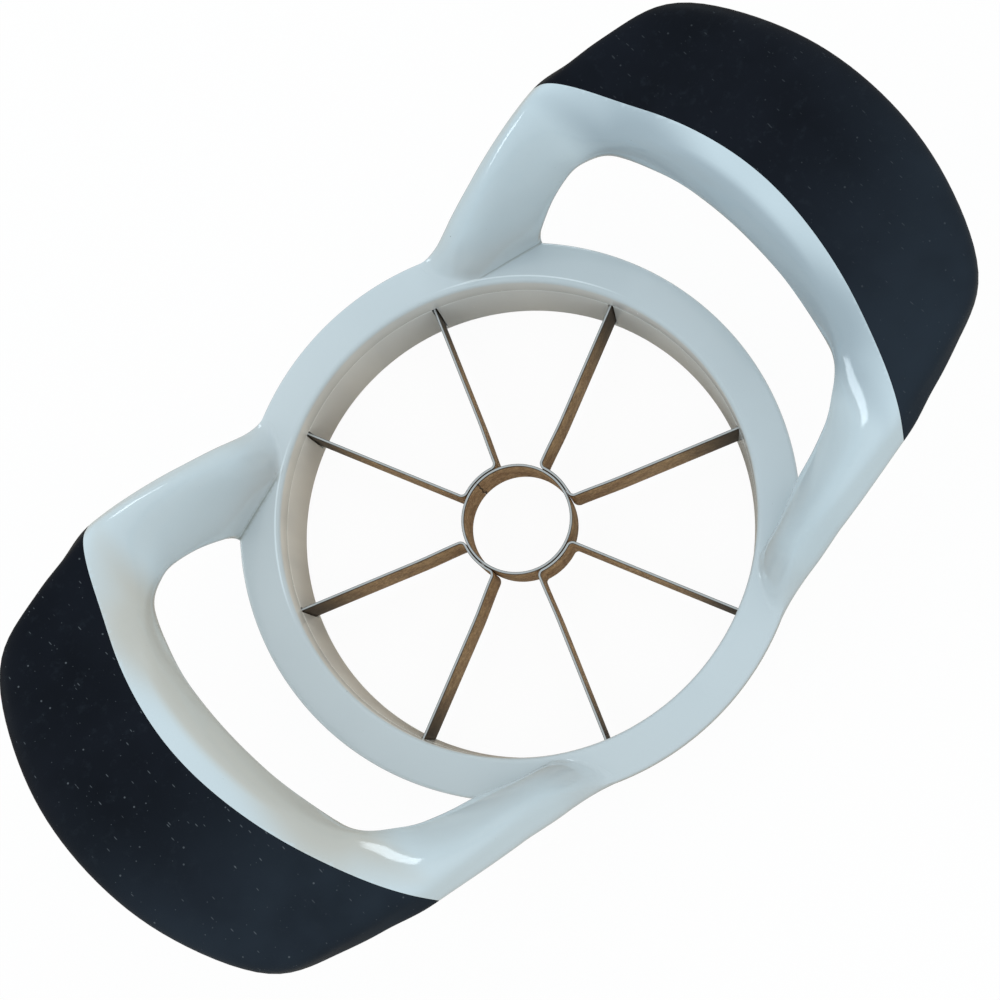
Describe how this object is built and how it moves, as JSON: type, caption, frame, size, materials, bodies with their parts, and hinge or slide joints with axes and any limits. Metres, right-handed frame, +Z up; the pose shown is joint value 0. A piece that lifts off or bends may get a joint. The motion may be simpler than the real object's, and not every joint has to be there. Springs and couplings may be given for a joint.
{
  "type": "apple slicer",
  "caption": "Hand-held apple slicer: radial blades round a core ring in a round plastic frame, with a raised arched handle and soft grip on each side.",
  "frame": {"origin": "on the ring's axis, in the plane that the ring rests on", "axes": "+X from one handle to the other, +Z up from the cutting edges to the handles, +Y across"},
  "size_m": [0.196, 0.1112, 0.0677],
  "materials": {
    "white_plastic": "glossy moulded, cool white",
    "black_grip": "satin soft-touch, near black",
    "stainless": "rolled strip"
  },
  "bodies": {
    "root": {"frame": "white_plastic", "blade_ring": "white_plastic", "right_grip": "black_grip", "left_grip": "black_grip", "core_ring": "stainless", "blade_strip_1": "stainless", "blade_strip_2": "stainless", "blade_strip_3": "stainless", "blade_strip_4": "stainless"}
  },
  "joints": []
}
